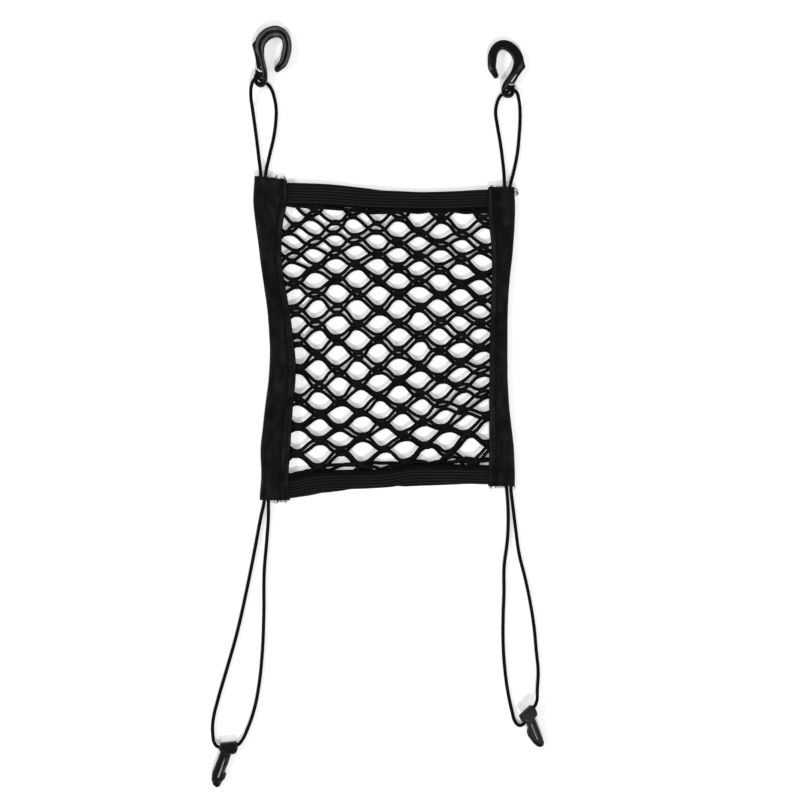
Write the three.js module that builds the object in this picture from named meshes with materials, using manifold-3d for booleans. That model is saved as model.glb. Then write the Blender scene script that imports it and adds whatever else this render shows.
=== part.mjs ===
// A barrier net for a car: two layers of elastic cord net in a frame of folded bands, with four cord
// loops that carry two hooks at the top and two clips at the bottom. It lies flat on a surface, face up.
// Millimetres: x runs across the net, y up it to the hooks, z up from the surface. The origin is on the
// surface, in the middle of the framed net.

import * as THREE from "three";
import { mergeVertices } from "three/addons/utils/BufferGeometryUtils.js";
import Module from "manifold-3d";

const wasm = await Module();
wasm.setup();

// Driving dimensions
const clear = 0.3; // between neighbouring pieces
const tape = 1.0; // one leaf of a folded band
const netThick = 2.0; // one layer of net
const netCord = 2.9; // the net's cord, seen from above
const netTuck = 9; // how far the net runs in under a band
const loopCord = 3.3; // the loops' cord, across
const hookThick = 7; // a hook, through its body
const eyeThick = 3.5; // a hook, through the eye that its loop passes
const clipHeadThick = 7;
const clipStemThick = 5;

// Heights that follow from them
const backZ = tape + clear;
const frontZ = backZ + netThick + clear;
const bandHeight = frontZ + netThick + clear + tape;
const foldRadius = bandHeight / 2;
const pinch = tape + clear; // taken off each side of a ribbed band where it lies inside a side band

// Each band's two long edges, its fold and its mouth. Side bands are read along y, the others along x.
const leftRows = [
  { y: -154.5, fold: -120.5, mouth: -92.2 },
  { y: -132, fold: -119, mouth: -93.4 },
  { y: -108, fold: -119.8, mouth: -92 },
  { y: -75, fold: -116.5, mouth: -90 },
  { y: -27, fold: -111.2, mouth: -86.5 },
  { y: 17, fold: -112.3, mouth: -91 },
  { y: 75, fold: -120, mouth: -99.8 },
  { y: 110, fold: -124.5, mouth: -99 },
  { y: 130, fold: -126.7, mouth: -95.2 },
  { y: 155.5, fold: -125.6, mouth: -95 },
];
const rightRows = [
  { y: -141, fold: 123.2, mouth: 98 },
  { y: -105, fold: 122, mouth: 98.9 },
  { y: -60, fold: 117.3, mouth: 98.9 },
  { y: 0, fold: 116, mouth: 99.6 },
  { y: 45, fold: 117.2, mouth: 101 },
  { y: 85, fold: 121.2, mouth: 101.3 },
  { y: 120, fold: 123.3, mouth: 98 },
  { y: 145, fold: 122.6, mouth: 97.9 },
];
const topRows = [
  { x: -112, fold: 150, mouth: 129 },
  { x: -94, fold: 149.5, mouth: 128.6 },
  { x: -58, fold: 147.8, mouth: 127.7 },
  { x: -20, fold: 144, mouth: 124.8 },
  { x: 30, fold: 140.2, mouth: 123.4 },
  { x: 60, fold: 140.8, mouth: 123.3 },
  { x: 98, fold: 143.4, mouth: 124.8 },
  { x: 109, fold: 143.6, mouth: 125 },
];
const bottomRows = [
  { x: -110, fold: -153, mouth: -131.8 },
  { x: -92, fold: -153, mouth: -131.5 },
  { x: -72, fold: -149.8, mouth: -127.7 },
  { x: -49, fold: -145.9, mouth: -125.8 },
  { x: 0, fold: -142, mouth: -124.6 },
  { x: 20, fold: -141, mouth: -121 },
  { x: 57, fold: -139.7, mouth: -120 },
  { x: 98, fold: -139.2, mouth: -121 },
  { x: 109, fold: -139.2, mouth: -121 },
];

// The net's holes lie in staggered rows. A row's first and last columns are at x first and last, and at
// y left and right, and its middle lies sag above the straight line between them.
const columns = 10;
const holeRows = [
  { row: -3, first: -90, last: 92, left: 155, right: 146, sag: 3 },
  { row: 1, first: -90, last: 94, left: 105.6, right: 97.3, sag: 4 },
  { row: 5, first: -88.5, last: 92, left: 54, right: 49.5, sag: 4.5 },
  { row: 9, first: -84.6, last: 89.4, left: -2, right: 3.5, sag: -0.5 },
  { row: 13, first: -84.5, last: 92, left: -58.5, right: -42, sag: -5.5 },
  { row: 17, first: -84.5, last: 99, left: -108.5, right: -87.5, sag: -7.5 },
  { row: 21, first: -84, last: 104, left: -164, right: -136, sag: -1 },
];

// How far the back layer has slipped from the front one, at the net's left, middle and right
const slipRows = [
  { y: -115, leftX: 0, leftY: -2.5, middleX: 0, middleY: -2.5, rightX: 0.5, rightY: -2 },
  { y: -60, leftX: 0, leftY: -4, middleX: 0.5, middleY: -4, rightX: 2, rightY: -5.5 },
  { y: 0, leftX: 1.5, leftY: -6.5, middleX: -0.5, middleY: -4.5, rightX: 0, rightY: -4.5 },
  { y: 60, leftX: 0, leftY: -6, middleX: 0.5, middleY: -3.5, rightX: -0.5, rightY: -4 },
  { y: 120, leftX: -6, leftY: -8, middleX: 2, middleY: -5.5, rightX: 0.5, rightY: -5 },
];

// The way each loop runs: out of its band, through its hook or clip, and back into the band.
const loopRoutes = {
  loop_top_left: [
    { x: -120.2, y: 146, z: 3.1 },
    { x: -120.1, y: 157.5, z: 3 },
    { x: -121.9, y: 173, z: 1.75 },
    { x: -124.8, y: 197, z: 1.75 },
    { x: -128, y: 220.1, z: 2 },
    { x: -129.3, y: 231.9, z: 4.6 },
    { x: -128.4, y: 240.6, z: 8.6 },
    { x: -125.6, y: 246.4, z: 10.9 },
    { x: -122.2, y: 248.2, z: 10.4 },
    { x: -120.5, y: 247.9, z: 7 },
    { x: -119.3, y: 247.4, z: 3.6 },
    { x: -116.4, y: 246.1, z: 1.8 },
    { x: -113, y: 243.6, z: 1.75 },
    { x: -109.8, y: 239.1, z: 1.75 },
    { x: -107.1, y: 231, z: 1.75 },
    { x: -105.4, y: 221, z: 1.75 },
    { x: -105.6, y: 208.9, z: 1.75 },
    { x: -107.5, y: 194, z: 1.75 },
    { x: -112.3, y: 173, z: 1.75 },
    { x: -115.3, y: 157.5, z: 3 },
    { x: -115.6, y: 146, z: 3.1 },
  ],
  loop_top_right: [
    { x: 113.6, y: 135.5, z: 3.1 },
    { x: 113.4, y: 147, z: 3 },
    { x: 113.2, y: 156, z: 2.3 },
    { x: 111.8, y: 171, z: 1.75 },
    { x: 109.4, y: 189, z: 1.75 },
    { x: 106.6, y: 205.2, z: 1.75 },
    { x: 105.1, y: 216.8, z: 1.75 },
    { x: 106.4, y: 225.9, z: 1.75 },
    { x: 109.6, y: 232.7, z: 1.75 },
    { x: 112.8, y: 235.3, z: 1.8 },
    { x: 115.8, y: 236.2, z: 3.2 },
    { x: 116.8, y: 236.6, z: 5.6 },
    { x: 117.8, y: 237, z: 8.7 },
    { x: 120.6, y: 237.2, z: 10 },
    { x: 124.4, y: 234.9, z: 9.4 },
    { x: 127, y: 228.8, z: 5.8 },
    { x: 128.4, y: 219.7, z: 2.6 },
    { x: 128.5, y: 208.5, z: 1.75 },
    { x: 127.7, y: 195, z: 1.75 },
    { x: 125.8, y: 177, z: 1.75 },
    { x: 122, y: 158.5, z: 2.1 },
    { x: 119, y: 147, z: 3 },
    { x: 118.2, y: 135.5, z: 3.1 },
  ],
  loop_bottom_left: [
    { x: -116.2, y: -145, z: 3.1 },
    { x: -116.8, y: -156.5, z: 3 },
    { x: -120, y: -171, z: 1.75 },
    { x: -125.8, y: -202, z: 1.75 },
    { x: -133.4, y: -240, z: 1.75 },
    { x: -142.6, y: -281, z: 1.75 },
    { x: -153.6, y: -320, z: 1.75 },
    { x: -161.3, y: -346.5, z: 1.75 },
    { x: -166, y: -367.5, z: 1.9 },
    { x: -166, y: -379, z: 2.6 },
    { x: -164.2, y: -387.4, z: 3.3 },
    { x: -160.4, y: -390.8, z: 3.8 },
    { x: -156, y: -390.3, z: 3.8 },
    { x: -151, y: -389.8, z: 3.8 },
    { x: -146, y: -389.3, z: 3.8 },
    { x: -141.7, y: -388.6, z: 3.7 },
    { x: -138.2, y: -385, z: 3 },
    { x: -132.8, y: -374, z: 1.9 },
    { x: -126.6, y: -356, z: 1.75 },
    { x: -122.9, y: -339, z: 1.75 },
    { x: -119, y: -306, z: 1.75 },
    { x: -117.2, y: -265, z: 1.75 },
    { x: -116.8, y: -224, z: 1.75 },
    { x: -114.2, y: -192, z: 1.75 },
    { x: -112.8, y: -171, z: 1.75 },
    { x: -112.6, y: -156.5, z: 3 },
    { x: -112, y: -145, z: 3.1 },
  ],
  loop_bottom_right: [
    { x: 115, y: -131.5, z: 3.1 },
    { x: 115.6, y: -143, z: 3 },
    { x: 116.8, y: -158, z: 1.75 },
    { x: 117.2, y: -176, z: 1.75 },
    { x: 116.2, y: -195, z: 1.75 },
    { x: 113.3, y: -218, z: 1.75 },
    { x: 113.1, y: -243, z: 1.75 },
    { x: 112.3, y: -268, z: 1.75 },
    { x: 112.4, y: -294, z: 1.75 },
    { x: 114.2, y: -319, z: 1.75 },
    { x: 117.1, y: -340, z: 1.75 },
    { x: 120.8, y: -357, z: 1.75 },
    { x: 123.8, y: -367, z: 1.75 },
    { x: 127.8, y: -370.6, z: 1.75 },
    { x: 131.4, y: -369.4, z: 1.75 },
    { x: 133.4, y: -365.6, z: 1.75 },
    { x: 133.4, y: -361.8, z: 2.1 },
    { x: 133.4, y: -359.6, z: 4.2 },
    { x: 134.2, y: -358.3, z: 6.8 },
    { x: 136, y: -356.5, z: 7.8 },
    { x: 138.6, y: -354.1, z: 8 },
    { x: 141.2, y: -351.7, z: 8 },
    { x: 143.9, y: -347, z: 6.6 },
    { x: 145, y: -335, z: 3 },
    { x: 145.9, y: -319, z: 1.75 },
    { x: 144, y: -298.5, z: 1.75 },
    { x: 142.1, y: -277.5, z: 1.75 },
    { x: 138.2, y: -252.5, z: 1.75 },
    { x: 133.4, y: -229.5, z: 1.75 },
    { x: 127.7, y: -206.5, z: 1.75 },
    { x: 124.4, y: -183, z: 1.75 },
    { x: 121.6, y: -160, z: 1.8 },
    { x: 119.9, y: -146, z: 2.8 },
    { x: 119.6, y: -138, z: 3.1 },
    { x: 119.3, y: -131.5, z: 3.1 },
  ],
};

// Materials

const paint = (color, roughness) => new THREE.MeshStandardMaterial({ color, roughness, metalness: 0 });
const webbing = paint(0x17181a, 0.9);
const ribbedElastic = paint(0x1a1b1e, 0.85);
const netElastic = paint(0x131416, 0.8);
const cordElastic = paint(0x161719, 0.75);
const hookPlastic = paint(0x1c1d20, 0.4);

// Readings between the rows of a table: read(at) gives the row's other columns there.
function reader(rows) {
  const [key, ...names] = Object.keys(rows[0]);
  const curve = new THREE.CubicInterpolant(
    rows.map((row) => row[key]),
    rows.flatMap((row) => names.map((name) => row[name])),
    names.length,
  );
  return (at) => {
    const values = curve.evaluate(at);
    return Object.fromEntries(names.map((name, i) => [name, values[i]]));
  };
}

const leftBand = reader(leftRows);
const rightBand = reader(rightRows);
const topBand = reader(topRows);
const bottomBand = reader(bottomRows);

// The point where the mouth of a side band meets the mouth of a ribbed band.
function mouthCorner(side, end) {
  const corner = new THREE.Vector2();
  for (let pass = 0; pass < 4; pass++) corner.set(side(corner.y).mouth, end(corner.x).mouth);
  return corner;
}

const topLeft = mouthCorner(leftBand, topBand);
const topRight = mouthCorner(rightBand, topBand);
const bottomLeft = mouthCorner(leftBand, bottomBand);
const bottomRight = mouthCorner(rightBand, bottomBand);

// Geometry and manifold-3d solids, back and forth

function solidOf(geometry) {
  const bare = geometry.clone();
  bare.deleteAttribute("normal");
  bare.deleteAttribute("uv");
  const merged = mergeVertices(bare, 1e-4);
  return new wasm.Manifold(
    new wasm.Mesh({
      numProp: 3,
      vertProperties: merged.attributes.position.array,
      triVerts: new Uint32Array(merged.index.array),
    }),
  );
}

function geometryOf(solid) {
  const { vertProperties, triVerts } = solid.getMesh();
  const geometry = new THREE.BufferGeometry();
  geometry.setAttribute("position", new THREE.BufferAttribute(vertProperties, 3));
  geometry.setIndex(new THREE.BufferAttribute(triVerts, 1));
  return geometry;
}

function prism(points, low, high) {
  const shape = new THREE.Shape(points);
  return new THREE.ExtrudeGeometry(shape, { depth: high - low, bevelEnabled: false }).translate(0, 0, low);
}

// Bands: a tape folded along its length, so its section is a U that opens to the net

function foldedSection() {
  const arcSteps = 4;
  const section = new THREE.Shape();
  const mouthAt = foldRadius * 2; // stands for the mouth, which each row of a band places
  const arc = (radius, from, to) => {
    for (let i = 0; i <= arcSteps; i++) {
      const angle = from + ((to - from) * i) / arcSteps;
      section.lineTo(foldRadius - radius * Math.cos(angle), foldRadius + radius * Math.sin(angle));
    }
  };
  section.moveTo(mouthAt, 0);
  arc(foldRadius, -Math.PI / 2, Math.PI / 2);
  section.lineTo(mouthAt, bandHeight);
  section.lineTo(mouthAt, bandHeight - tape);
  arc(foldRadius - tape, Math.PI / 2, -Math.PI / 2);
  section.lineTo(mouthAt, tape);
  return section;
}

// along is the band's length, and inward runs from its fold to its mouth. pinchAt is 0 where the band is open
// and 1 where it is pressed flat.
function foldedBand(edges, stations, along, inward, pinchAt = () => 0) {
  const up = new THREE.Vector3(0, 0, 1);
  const rightHanded = inward.dot(new THREE.Vector3().crossVectors(up, along)) > 0;
  const places = rightHanded ? stations : [...stations].reverse();
  const steps = places.length - 1;
  const geometry = new THREE.ExtrudeGeometry(foldedSection(), { depth: steps, steps, bevelEnabled: false });
  const position = geometry.attributes.position;
  const point = new THREE.Vector3();
  for (let i = 0; i < position.count; i++) {
    point.fromBufferAttribute(position, i);
    const place = places[Math.round(point.z)];
    const { fold, mouth } = edges(place);
    const atMouth = point.x > foldRadius + 1e-3;
    const depth = atMouth ? Math.abs(mouth - fold) : point.x;
    const rise = point.y - foldRadius;
    const reach = Math.hypot(Math.min(depth - foldRadius, 0), rise);
    const height = foldRadius + (rise * (reach - pinch * pinchAt(place))) / reach;
    const side = inward.x + inward.y;
    point.copy(along).multiplyScalar(place);
    point.addScaledVector(inward, (fold + depth * side) * side);
    position.setXYZ(i, point.x, point.y, height);
  }
  return geometry;
}

// Even stations from low to high, about step apart, with any others added.
function stationsBetween(low, high, step, others = []) {
  const count = Math.ceil((high - low) / step);
  const even = Array.from({ length: count + 1 }, (_, i) => low + ((high - low) * i) / count);
  const apart = even.filter((at) => others.every((other) => Math.abs(at - other) > step / 3));
  return [...apart, ...others].sort((a, b) => a - b);
}

const acrossNet = new THREE.Vector3(1, 0, 0);
const upNet = new THREE.Vector3(0, 1, 0);
const release = 8; // the length over which a ribbed band opens out of a side band

function sideBand(edges, rows, inward) {
  return foldedBand(edges, stationsBetween(rows[0].y, rows.at(-1).y, 17), upNet, inward);
}

// The ends of a ribbed band are pressed flat inside the side bands.
function ribbedBand(edges, rows, inward, leftMouth, rightMouth) {
  const turns = [leftMouth + 1, leftMouth + 1 + release, rightMouth - 1 - release, rightMouth - 1];
  const stations = stationsBetween(rows[0].x, rows.at(-1).x, 18, [rows[0].x, ...turns, rows.at(-1).x]);
  const pressed = (x) =>
    1 - THREE.MathUtils.clamp(Math.min(x - turns[0], turns[3] - x) / release, 0, 1);
  return foldedBand(edges, stations, acrossNet, inward, pressed);
}

// Net: rows of holes between wavy strands that touch where the trough of one meets the peak of the next

const rowAt = reader(holeRows);

// A place in the net: column and row are whole at the middles of holes. lift is added across the rows.
function netPoint(column, row, lift = 0) {
  const { first, last, left, right, sag } = rowAt(row);
  const share = column / (columns - 1);
  const bow = 4 * sag * share * (1 - share);
  return new THREE.Vector2(
    THREE.MathUtils.lerp(first, last, share),
    THREE.MathUtils.lerp(left, right, share) + bow + lift,
  );
}

const slipAt = reader(slipRows);
const slipSide = 75; // the left and right readings of the slip lie this far from the middle

function slipOf(x, y) {
  const slip = slipAt(y);
  const share = THREE.MathUtils.clamp(Math.abs(x) / slipSide, 0, 1);
  const [sideX, sideY] = x < 0 ? [slip.leftX, slip.leftY] : [slip.rightX, slip.rightY];
  return new THREE.Vector2(
    THREE.MathUtils.lerp(slip.middleX, sideX, share),
    THREE.MathUtils.lerp(slip.middleY, sideY, share),
  );
}

// The net lies a little unevenly. layer is -0.5 for the front layer and 0.5 for the back one, which have
// slipped apart by equal shares.
function layPoint({ x, y }, layer) {
  const sway = 0.9 * Math.sin(y / 21 + x / 47) + layer * 1.2 * Math.sin(x / 13 + y / 19);
  const bob = 1.1 * Math.sin(x / 16 - y / 33) + layer * 1.2 * Math.sin(y / 11 - x / 23);
  return slipOf(x, y).multiplyScalar(layer).add(new THREE.Vector2(x + sway, y + bob));
}

// A hole as a hexagon: its corners stop short of the knots, and its flats are the strands' inner sides.
function holePoints(column, row, layer) {
  const knotAt = 0.84; // in columns from the hole's middle
  const flatAt = 0.27;
  const spacing = netPoint(column, row - 0.5).y - netPoint(column, row + 0.5).y;
  const wave = (spacing - netCord) / 2;
  const edge = (offset, side) => {
    const lift = side * (wave * Math.cos(Math.PI * offset) - netCord / 2);
    return layPoint(netPoint(column + offset, row - side / 2, lift), layer);
  };
  const knot = (offset) => layPoint(netPoint(column + offset, row), layer);
  const below = [edge(-flatAt, -1), edge(flatAt, -1)];
  const above = [edge(flatAt, 1), edge(-flatAt, 1)];
  return [knot(-knotAt), ...below, knot(knotAt), ...above];
}

// The outline runs past the bands' mouths by reach, and steps back at each corner, where the ribbed bands are
// pressed flat.
function netOutline(reach) {
  const step = netTuck + release + 3 - reach;
  const below = netTuck + 1.5 - reach;
  const onLeft = (y) => [leftBand(y).mouth - reach, y];
  const onRight = (y) => [rightBand(y).mouth + reach, y];
  const onTop = (x) => [x, topBand(x).mouth + reach];
  const onBottom = (x) => [x, bottomBand(x).mouth - reach];
  const left = stationsBetween(bottomLeft.y + below, topLeft.y - below, 32).map(onLeft);
  const right = stationsBetween(bottomRight.y + below, topRight.y - below, 32).map(onRight);
  const top = stationsBetween(topLeft.x + step, topRight.x - step, 32).map(onTop);
  const bottom = stationsBetween(bottomLeft.x + step, bottomRight.x - step, 32).map(onBottom);
  const notch = (across, up) => [across[0], up[1]];
  return [
    ...bottom,
    notch(bottom.at(-1), right[0]),
    ...right,
    notch(top.at(-1), right.at(-1)),
    ...top.reverse(),
    notch(top.at(-1), left.at(-1)),
    ...left.reverse(),
    notch(bottom[0], left.at(-1)),
  ].map(([x, y]) => new THREE.Vector2(x, y));
}

function netLayer(bottom, layer) {
  const border = 3; // whole cloth kept along the outline
  const least = 12; // square millimetres; a smaller corner of a hole is left closed
  const firstRow = -2;
  const lastRow = 21;
  const top = bottom + netThick;
  const field = solidOf(prism(netOutline(netTuck - border), bottom - 1, top + 1));
  let cloth = solidOf(prism(netOutline(netTuck), bottom, top));
  for (let row = firstRow; row <= lastRow; row++) {
    for (let column = -1; column <= columns; column++) {
      if ((column + row) % 2) continue;
      const points = holePoints(column, row, layer);
      const hole = solidOf(prism(points, bottom - 1, top + 1)).intersect(field);
      if (hole.volume() > least * (netThick + 2)) cloth = cloth.subtract(hole);
    }
  }
  return geometryOf(cloth);
}

// Loops: a round cord. Its rings follow the route's points, which crowd together where the cord turns sharply
// through a hook's eye or a clip's head.

function loopGeometry(route) {
  const path = new THREE.CatmullRomCurve3(route.map(({ x, y, z }) => new THREE.Vector3(x, y, z)));
  const stretches = route.length - 1;
  const ringsEach = Math.max(2, Math.round(path.getLength() / stretches / (2.5 * loopCord)));
  path.getPointAt = path.getPoint;
  path.getTangentAt = path.getTangent;
  const section = new THREE.Shape();
  section.absarc(0, 0, loopCord / 2, 0, Math.PI * 2);
  const steps = ringsEach * stretches;
  return new THREE.ExtrudeGeometry(section, { extrudePath: path, steps, curveSegments: 4 });
}

// Hooks: a broad open crook on a stem, with an eye for the loop and a thin keeper down from the shoulder

// The middle of the stem and crook, from the eye round to the tip, with the width there
const crook = [
  { x: -4.5, y: 1.8, width: 4.6 },
  { x: -2.5, y: 6.8, width: 4.8 },
  { x: 0.5, y: 11.1, width: 4.9 },
  { x: 4.5, y: 16.9, width: 5.1 },
  { x: 8.2, y: 22.2, width: 8.4 },
  { x: 10.2, y: 28.2, width: 10 },
  { x: 9, y: 33.6, width: 9.9 },
  { x: 5.6, y: 39.3, width: 9.6 },
  { x: 0, y: 43.8, width: 9.4 },
  { x: -5.8, y: 44.9, width: 8.9 },
  { x: -11, y: 42.2, width: 8.5 },
  { x: -14.4, y: 36, width: 8.8 },
  { x: -15.2, y: 29, width: 8.6 },
  { x: -15.2, y: 23, width: 7.7 },
  { x: -13.1, y: 18, width: 6 },
  { x: -10.5, y: 13, width: 4.6 },
];
const keeper = [
  [16.8, 23.4],
  [15.6, 27.6],
  [13, 30],
  [9, 24],
  [8.4, 18.4],
  [9, 17.1],
  [3.9, 8.8],
  [2.4, 9],
  [1.6, 7.5],
  [5.9, 7.5],
  [7.9, 10.4],
  [10.1, 14.5],
  [13.5, 19.3],
];
const lip = [
  [-2.6, 2.6],
  [1, 5.3],
  [7.1, 6.4],
  [6, 2.4],
];
const eyeRadius = 6.4;
const eyeHole = 4.2;

// The left hook shows drawn out along its stem, as if the right one leant back a little
const drawnOut = new THREE.Matrix4().set(1.054, 0.091, 0, 0, 0.091, 1.104, 0, 0, 0, 0, 1, 0, 0, 0, 0, 1);

const shapeOf = (pairs) => new THREE.Shape(pairs.map(([x, y]) => new THREE.Vector2(x, y)));

// A strip along a smooth middle line, round at its far end
function stripShape(rows, samples) {
  const middle = new THREE.SplineCurve(rows.map(({ x, y }) => new THREE.Vector2(x, y)));
  const left = [];
  const right = [];
  for (let i = 0; i <= samples; i++) {
    const at = (i / samples) * (rows.length - 1);
    const before = Math.min(Math.floor(at), rows.length - 2);
    const half = THREE.MathUtils.lerp(rows[before].width, rows[before + 1].width, at - before) / 2;
    const point = middle.getPoint(i / samples);
    const ahead = middle.getTangent(i / samples);
    const normal = new THREE.Vector2(-ahead.y, ahead.x);
    left.push(point.clone().addScaledVector(normal, half));
    right.push(point.clone().addScaledVector(normal, -half));
    if (i === samples) left.push(point.clone().addScaledVector(ahead, half));
  }
  return new THREE.Shape([...left, ...right.reverse()]);
}

// A plate with its edges chamfered, centred on its own mid-plane
function plate(shape, thick, chamfer) {
  const geometry = new THREE.ExtrudeGeometry(shape, {
    depth: thick - 2 * chamfer,
    bevelEnabled: true,
    bevelThickness: chamfer,
    bevelSize: chamfer,
    bevelOffset: -chamfer,
    bevelSegments: 1,
    curveSegments: 10,
  });
  return solidOf(geometry.translate(0, 0, chamfer - thick / 2));
}

function hookGeometry(stretch = new THREE.Matrix4()) {
  const ring = new THREE.Shape();
  ring.absarc(0, 0, eyeRadius, 0, Math.PI * 2);
  const hole = new THREE.CylinderGeometry(eyeHole, eyeHole, hookThick + 2, 16).rotateX(Math.PI / 2);
  const body = plate(stripShape(crook, 32), hookThick, 1.2)
    .add(plate(shapeOf(keeper), eyeThick, 0.4))
    .add(plate(shapeOf(lip), eyeThick, 0.4))
    .add(plate(ring, eyeThick, 0.6));
  return geometryOf(solidOf(geometryOf(body).applyMatrix4(stretch)).subtract(solidOf(hole)));
}

// Clips: a T head that the loop runs through, off its middle, and a slotted stem with a barb on one side. The
// middle of the loop's bore is the clip's origin, and the stem runs down from it.

const clipHead = {
  turn: 0.36, // of the head and its bore on the stem
  bore: 2.6, // radius
  open: { reach: 3.9, end: 1.3 }, // the bore's open half: how far towards the stem, and past the middle
  outline: [
    [-7.4, 3.3],
    [7.2, 3.6],
    [8.8, 1.4],
    [8.8, -3.4],
    [7.6, -6.4],
    [5.6, -7.8],
    [-4.4, -7.4],
    [-5.2, -3.8],
    [-8.4, -3.5],
    [-9, -1.4],
  ],
};
const clipStems = {
  left: {
    slot: { from: -10.6, to: -31.6, lean: -1.4, width: 1.7 },
    outline: [
      [-5.6, -3],
      [-6.9, -17],
      [-8.2, -28],
      [-7.3, -35],
      [-4.4, -39.6],
      [-0.6, -41.4],
      [2.2, -39.6],
      [3.2, -34.4],
      [5, -31],
      [5.3, -26.8],
      [2.8, -25.2],
      [4.2, -17],
      [4.8, -3],
    ],
  },
  right: {
    slot: { from: -9.5, to: -28.5, lean: 0, width: 1.7 },
    outline: [
      [-4.3, -3],
      [-4.4, -13.5],
      [-6.8, -16.8],
      [-7.3, -20.6],
      [-5, -29.6],
      [-2.8, -34],
      [0, -36],
      [3, -35.6],
      [4.9, -32.8],
      [5.2, -20],
      [5.4, -3],
    ],
  },
};

function clipGeometry({ slot, outline }) {
  const { turn, bore, open, outline: headOutline } = clipHead;
  const long = 24; // past both ends of the head
  const turned = (solid) => solid.rotate([0, 0, THREE.MathUtils.radToDeg(turn)]);
  const boreGeometry = new THREE.CylinderGeometry(bore, bore, long, 12).rotateZ(Math.PI / 2);
  const groove = new THREE.BoxGeometry(long / 2, bore + open.reach, clipHeadThick);
  groove.translate(open.end - long / 4, (bore - open.reach) / 2, -clipHeadThick / 2);
  const gap = new THREE.Shape();
  gap.absarc(slot.lean, slot.to, slot.width / 2, Math.PI, Math.PI * 2);
  gap.absarc(0, slot.from, slot.width / 2, 0, Math.PI);
  const body = turned(plate(shapeOf(headOutline), clipHeadThick, 0.8))
    .add(plate(shapeOf(outline), clipStemThick, 0.8))
    .subtract(turned(solidOf(boreGeometry).add(solidOf(groove))))
    .subtract(solidOf(prism(gap.getPoints(6), -clipStemThick, clipStemThick)));
  return geometryOf(body);
}

// The net lying on its surface

const root = new THREE.Group();

function addPiece(name, geometry, material, parent = root) {
  geometry.computeVertexNormals();
  const mesh = new THREE.Mesh(geometry, material);
  mesh.name = name;
  parent.add(mesh);
}

// A hook or a clip lies with its eye or head at place, turned in plan, and tipped to touch the surface.
function layMoulding(name, geometry, { x, y, z, turn = 0, tip = 0, roll = 0 }) {
  const seat = new THREE.Group();
  seat.position.set(x, y, z);
  seat.rotation.set(tip, roll, turn, "ZYX");
  root.add(seat);
  addPiece(name, geometry, hookPlastic, seat);
}

const down = upNet.clone().negate();
const leftward = acrossNet.clone().negate();
addPiece("net_back", netLayer(backZ, 0.5), netElastic);
addPiece("net_front", netLayer(frontZ, -0.5), netElastic);
addPiece("band_top", ribbedBand(topBand, topRows, down, topLeft.x, topRight.x), ribbedElastic);
const bottomGeometry = ribbedBand(bottomBand, bottomRows, upNet, bottomLeft.x, bottomRight.x);
addPiece("band_bottom", bottomGeometry, ribbedElastic);
addPiece("band_left", sideBand(leftBand, leftRows, acrossNet), webbing);
addPiece("band_right", sideBand(rightBand, rightRows, leftward), webbing);

for (const [name, route] of Object.entries(loopRoutes)) {
  addPiece(name, loopGeometry(route), cordElastic);
}

const rightHook = hookGeometry();
const leftHook = hookGeometry(drawnOut).rotateY(Math.PI);
const leftClip = clipGeometry(clipStems.left);
const rightClip = clipGeometry(clipStems.right);
layMoulding("hook_top_left", leftHook, { x: -120.3, y: 247.5, z: 6.4, turn: -0.397, tip: -0.02, roll: 0.085 });
layMoulding("hook_top_right", rightHook, { x: 116.7, y: 236.4, z: 5.6, tip: -0.03, roll: -0.03 });
layMoulding("clip_bottom_left", leftClip, { x: -151, y: -389.8, z: 3.8, turn: -0.265, tip: 0.03 });
layMoulding("clip_bottom_right", rightClip, { x: 134.6, y: -357.8, z: 7.7, turn: 0.385, tip: 0.14 });

export default root;
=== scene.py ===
# A barrier net for a car, laid out flat: two layers of elastic cord net in a frame of folded bands,
# with four cord loops that carry two hooks at the top and two clips at the bottom. Everything is in
# metres.
import itertools
import math
import random

import bmesh
import bpy
from mathutils import Euler, Matrix, Vector, noise


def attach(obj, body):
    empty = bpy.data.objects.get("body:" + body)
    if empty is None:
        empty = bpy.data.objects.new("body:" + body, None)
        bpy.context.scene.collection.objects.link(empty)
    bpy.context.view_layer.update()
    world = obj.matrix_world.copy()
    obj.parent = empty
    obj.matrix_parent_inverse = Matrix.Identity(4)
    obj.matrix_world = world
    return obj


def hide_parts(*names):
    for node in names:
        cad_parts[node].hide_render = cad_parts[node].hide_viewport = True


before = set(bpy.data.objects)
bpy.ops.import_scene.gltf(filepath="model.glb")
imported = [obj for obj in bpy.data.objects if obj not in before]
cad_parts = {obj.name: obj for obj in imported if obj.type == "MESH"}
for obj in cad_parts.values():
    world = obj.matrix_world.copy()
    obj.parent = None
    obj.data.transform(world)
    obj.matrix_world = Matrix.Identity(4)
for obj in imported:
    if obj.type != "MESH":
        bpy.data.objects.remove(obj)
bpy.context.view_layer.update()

# Camera: straight above the net, level with its middle

view = {"height": 1.4, "across": 0.768, "middle": (0.0134, -0.0586)}


def addObject(name, data):
    holder = bpy.data.objects.new(name, data)
    bpy.context.scene.collection.objects.link(holder)
    return holder


def makeCamera():
    lens = bpy.data.cameras.new("camera")
    lens.angle = 2 * math.atan(view["across"] / 2 / view["height"])
    lens.clip_end = 20
    camera = addObject("camera", lens)
    camera.location = (*view["middle"], view["height"])
    bpy.context.scene.camera = camera


makeCamera()


# Materials. A Wire is a socket whose value can be used in sums; a Finish is a material with its shader.


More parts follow.
